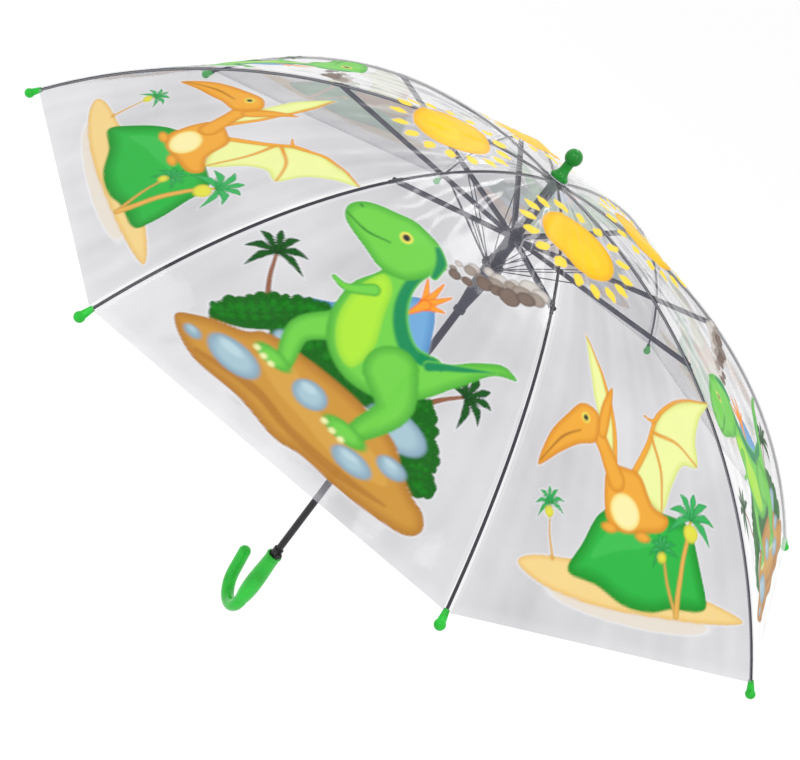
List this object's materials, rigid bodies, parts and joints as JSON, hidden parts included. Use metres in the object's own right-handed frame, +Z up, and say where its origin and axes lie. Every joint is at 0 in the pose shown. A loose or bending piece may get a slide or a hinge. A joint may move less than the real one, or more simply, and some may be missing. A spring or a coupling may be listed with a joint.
{
  "type": "children's stick umbrella",
  "caption": "Clear dome stick umbrella for a child, open, with a printed film canopy on hinged ribs and stretchers, a runner, a spring, a hook handle and a button.",
  "frame": {"origin": "on the shaft's axis at the middle of the straight grip", "axes": "+Z up along the shaft to the ferrule, +X towards the side the hook turns to"},
  "size_m": [0.8784, 0.8784, 0.6567],
  "materials": {
    "film": "gloss",
    "dark_metal": "satin",
    "dark_plastic": "satin",
    "black_plastic": "satin",
    "rib_fibre": "satin",
    "wire": "satin",
    "green_plastic": "gloss",
    "clear_plastic": "gloss"
  },
  "bodies": {
    "shaft": {"shaft_tube": "dark_metal", "crown": "dark_plastic", "crown_wire": "wire", "stop_sleeve": "dark_plastic", "canopy_washer": "clear_plastic", "ferrule": "green_plastic", "handle": "green_plastic", "catch_housing": "black_plastic", "button_spring": "wire"},
    "button": {"button": "black_plastic"},
    "rib_arm_1": {"rib_1": "rib_fibre", "tip_cap_1": "green_plastic", "canopy_panel_1": "film"},
    "stretcher_arm_1": {"stretcher_1": "dark_metal"},
    "drag_arm_1": {"drag_link_1": "wire"},
    "rib_arm_2": {"rib_2": "rib_fibre", "tip_cap_2": "green_plastic", "canopy_panel_2": "film"},
    "stretcher_arm_2": {"stretcher_2": "dark_metal"},
    "drag_arm_2": {"drag_link_2": "wire"},
    "rib_arm_3": {"rib_3": "rib_fibre", "tip_cap_3": "green_plastic", "canopy_panel_3": "film"},
    "stretcher_arm_3": {"stretcher_3": "dark_metal"},
    "drag_arm_3": {"drag_link_3": "wire"},
    "rib_arm_4": {"rib_4": "rib_fibre", "tip_cap_4": "green_plastic", "canopy_panel_4": "film"},
    "stretcher_arm_4": {"stretcher_4": "dark_metal"},
    "drag_arm_4": {"drag_link_4": "wire"},
    "rib_arm_5": {"rib_5": "rib_fibre", "tip_cap_5": "green_plastic", "canopy_panel_5": "film"},
    "stretcher_arm_5": {"stretcher_5": "dark_metal"},
    "drag_arm_5": {"drag_link_5": "wire"},
    "rib_arm_6": {"rib_6": "rib_fibre", "tip_cap_6": "green_plastic", "canopy_panel_6": "film"},
    "stretcher_arm_6": {"stretcher_6": "dark_metal"},
    "drag_arm_6": {"drag_link_6": "wire"},
    "rib_arm_7": {"rib_7": "rib_fibre", "tip_cap_7": "green_plastic", "canopy_panel_7": "film"},
    "stretcher_arm_7": {"stretcher_7": "dark_metal"},
    "drag_arm_7": {"drag_link_7": "wire"},
    "rib_arm_8": {"rib_8": "rib_fibre", "tip_cap_8": "green_plastic", "canopy_panel_8": "film"},
    "stretcher_arm_8": {"stretcher_8": "dark_metal"},
    "drag_arm_8": {"drag_link_8": "wire"},
    "top_runner": {"top_runner": "dark_plastic", "top_runner_wire": "wire", "main_spring": "wire"},
    "lower_runner": {"lower_runner": "dark_plastic"}
  },
  "joints": [
    {"name": "open_close", "type": "hinge", "parent": "shaft", "child": "rib_arm_1", "pos_m": [0.00693, 0.004, 0.55], "axis": [-0.5, 0.866, 0], "range_deg": [0, 64], "stiffness_Nm_per_rad": 0.8, "springref_deg": -143.24, "deforming": ["canopy_panel_1"]},
    {"name": "stretcher_hinge_1", "type": "hinge", "parent": "rib_arm_1", "child": "stretcher_arm_1", "pos_m": [0.18706, 0.108, 0.517], "axis": [-0.5, 0.866, 0], "range_deg": [-132, 4]},
    {"name": "drag_hinge_1", "type": "hinge", "parent": "stretcher_arm_1", "child": "drag_arm_1", "pos_m": [0.07193, 0.04153, 0.49591], "axis": [-0.5, 0.866, 0], "range_deg": [-2, 22.81]},
    {"name": "rib_hinge_2", "type": "hinge", "parent": "shaft", "child": "rib_arm_2", "pos_m": [0.00207, 0.00773, 0.55], "axis": [-0.9659, 0.2588, 0], "range_deg": [-2, 66], "deforming": ["canopy_panel_2"]},
    {"name": "stretcher_hinge_2", "type": "hinge", "parent": "rib_arm_2", "child": "stretcher_arm_2", "pos_m": [0.0559, 0.20864, 0.517], "axis": [-0.9659, 0.2588, 0], "range_deg": [-132, 4]},
    {"name": "drag_hinge_2", "type": "hinge", "parent": "stretcher_arm_2", "child": "drag_arm_2", "pos_m": [0.0215, 0.08023, 0.49591], "axis": [-0.9659, 0.2588, 0], "range_deg": [-2, 22.81]},
    {"name": "rib_hinge_3", "type": "hinge", "parent": "shaft", "child": "rib_arm_3", "pos_m": [-0.004, 0.00693, 0.55], "axis": [-0.866, -0.5, 0], "range_deg": [-2, 66], "deforming": ["canopy_panel_3"]},
    {"name": "stretcher_hinge_3", "type": "hinge", "parent": "rib_arm_3", "child": "stretcher_arm_3", "pos_m": [-0.108, 0.18706, 0.517], "axis": [-0.866, -0.5, 0], "range_deg": [-132, 4]},
    {"name": "drag_hinge_3", "type": "hinge", "parent": "stretcher_arm_3", "child": "drag_arm_3", "pos_m": [-0.04153, 0.07193, 0.49591], "axis": [-0.866, -0.5, 0], "range_deg": [-2, 22.81]},
    {"name": "rib_hinge_4", "type": "hinge", "parent": "shaft", "child": "rib_arm_4", "pos_m": [-0.00773, 0.00207, 0.55], "axis": [-0.2588, -0.9659, 0], "range_deg": [-2, 66], "deforming": ["canopy_panel_4"]},
    {"name": "stretcher_hinge_4", "type": "hinge", "parent": "rib_arm_4", "child": "stretcher_arm_4", "pos_m": [-0.20864, 0.0559, 0.517], "axis": [-0.2588, -0.9659, 0], "range_deg": [-132, 4]},
    {"name": "drag_hinge_4", "type": "hinge", "parent": "stretcher_arm_4", "child": "drag_arm_4", "pos_m": [-0.08023, 0.0215, 0.49591], "axis": [-0.2588, -0.9659, 0], "range_deg": [-2, 22.81]},
    {"name": "rib_hinge_5", "type": "hinge", "parent": "shaft", "child": "rib_arm_5", "pos_m": [-0.00693, -0.004, 0.55], "axis": [0.5, -0.866, 0], "range_deg": [-2, 66], "deforming": ["canopy_panel_5"]},
    {"name": "stretcher_hinge_5", "type": "hinge", "parent": "rib_arm_5", "child": "stretcher_arm_5", "pos_m": [-0.18706, -0.108, 0.517], "axis": [0.5, -0.866, 0], "range_deg": [-132, 4]},
    {"name": "drag_hinge_5", "type": "hinge", "parent": "stretcher_arm_5", "child": "drag_arm_5", "pos_m": [-0.07193, -0.04153, 0.49591], "axis": [0.5, -0.866, 0], "range_deg": [-2, 22.81]},
    {"name": "rib_hinge_6", "type": "hinge", "parent": "shaft", "child": "rib_arm_6", "pos_m": [-0.00207, -0.00773, 0.55], "axis": [0.9659, -0.2588, 0], "range_deg": [-2, 66], "deforming": ["canopy_panel_6"]},
    {"name": "stretcher_hinge_6", "type": "hinge", "parent": "rib_arm_6", "child": "stretcher_arm_6", "pos_m": [-0.0559, -0.20864, 0.517], "axis": [0.9659, -0.2588, 0], "range_deg": [-132, 4]},
    {"name": "drag_hinge_6", "type": "hinge", "parent": "stretcher_arm_6", "child": "drag_arm_6", "pos_m": [-0.0215, -0.08023, 0.49591], "axis": [0.9659, -0.2588, 0], "range_deg": [-2, 22.81]},
    {"name": "rib_hinge_7", "type": "hinge", "parent": "shaft", "child": "rib_arm_7", "pos_m": [0.004, -0.00693, 0.55], "axis": [0.866, 0.5, 0], "range_deg": [-2, 66], "deforming": ["canopy_panel_7"]},
    {"name": "stretcher_hinge_7", "type": "hinge", "parent": "rib_arm_7", "child": "stretcher_arm_7", "pos_m": [0.108, -0.18706, 0.517], "axis": [0.866, 0.5, 0], "range_deg": [-132, 4]},
    {"name": "drag_hinge_7", "type": "hinge", "parent": "stretcher_arm_7", "child": "drag_arm_7", "pos_m": [0.04153, -0.07193, 0.49591], "axis": [0.866, 0.5, 0], "range_deg": [-2, 22.81]},
    {"name": "rib_hinge_8", "type": "hinge", "parent": "shaft", "child": "rib_arm_8", "pos_m": [0.00773, -0.00207, 0.55], "axis": [0.2588, 0.9659, 0], "range_deg": [-2, 66], "deforming": ["canopy_panel_8"]},
    {"name": "stretcher_hinge_8", "type": "hinge", "parent": "rib_arm_8", "child": "stretcher_arm_8", "pos_m": [0.20864, -0.0559, 0.517], "axis": [0.2588, 0.9659, 0], "range_deg": [-132, 4]},
    {"name": "drag_hinge_8", "type": "hinge", "parent": "stretcher_arm_8", "child": "drag_arm_8", "pos_m": [0.08023, -0.0215, 0.49591], "axis": [0.2588, 0.9659, 0], "range_deg": [-2, 22.81]},
    {"name": "top_runner_hinge", "type": "hinge", "parent": "stretcher_arm_1", "child": "top_runner", "pos_m": [0.00693, 0.004, 0.484], "axis": [-0.5, 0.866, 0], "range_deg": [-2, 66]},
    {"name": "lower_runner_slide", "type": "slide", "parent": "top_runner", "child": "lower_runner", "axis": [0, 0, 1], "range_m": [-0.001, 0.02406], "deforming": ["main_spring"]},
    {"name": "button_press", "type": "slide", "parent": "shaft", "child": "button", "axis": [1, 0, 0], "range_m": [0, 0.0024], "stiffness_N_per_m": 600, "springref_m": -0.001, "deforming": ["button_spring"]}
  ],
  "couplings": [
    {"joint": "stretcher_hinge_1", "follows": "open_close", "ratio": -2},
    {"joint": "drag_hinge_1", "follows": "open_close", "ratio": 0.32509},
    {"joint": "rib_hinge_2", "follows": "open_close", "ratio": 1},
    {"joint": "stretcher_hinge_2", "follows": "open_close", "ratio": -2},
    {"joint": "drag_hinge_2", "follows": "open_close", "ratio": 0.32509},
    {"joint": "rib_hinge_3", "follows": "open_close", "ratio": 1},
    {"joint": "stretcher_hinge_3", "follows": "open_close", "ratio": -2},
    {"joint": "drag_hinge_3", "follows": "open_close", "ratio": 0.32509},
    {"joint": "rib_hinge_4", "follows": "open_close", "ratio": 1},
    {"joint": "stretcher_hinge_4", "follows": "open_close", "ratio": -2},
    {"joint": "drag_hinge_4", "follows": "open_close", "ratio": 0.32509},
    {"joint": "rib_hinge_5", "follows": "open_close", "ratio": 1},
    {"joint": "stretcher_hinge_5", "follows": "open_close", "ratio": -2},
    {"joint": "drag_hinge_5", "follows": "open_close", "ratio": 0.32509},
    {"joint": "rib_hinge_6", "follows": "open_close", "ratio": 1},
    {"joint": "stretcher_hinge_6", "follows": "open_close", "ratio": -2},
    {"joint": "drag_hinge_6", "follows": "open_close", "ratio": 0.32509},
    {"joint": "rib_hinge_7", "follows": "open_close", "ratio": 1},
    {"joint": "stretcher_hinge_7", "follows": "open_close", "ratio": -2},
    {"joint": "drag_hinge_7", "follows": "open_close", "ratio": 0.32509},
    {"joint": "rib_hinge_8", "follows": "open_close", "ratio": 1},
    {"joint": "stretcher_hinge_8", "follows": "open_close", "ratio": -2},
    {"joint": "drag_hinge_8", "follows": "open_close", "ratio": 0.32509},
    {"joint": "top_runner_hinge", "follows": "open_close", "ratio": 1},
    {"joint": "lower_runner_slide", "follows": "open_close", "m_per_rad": 0.020649}
  ]
}
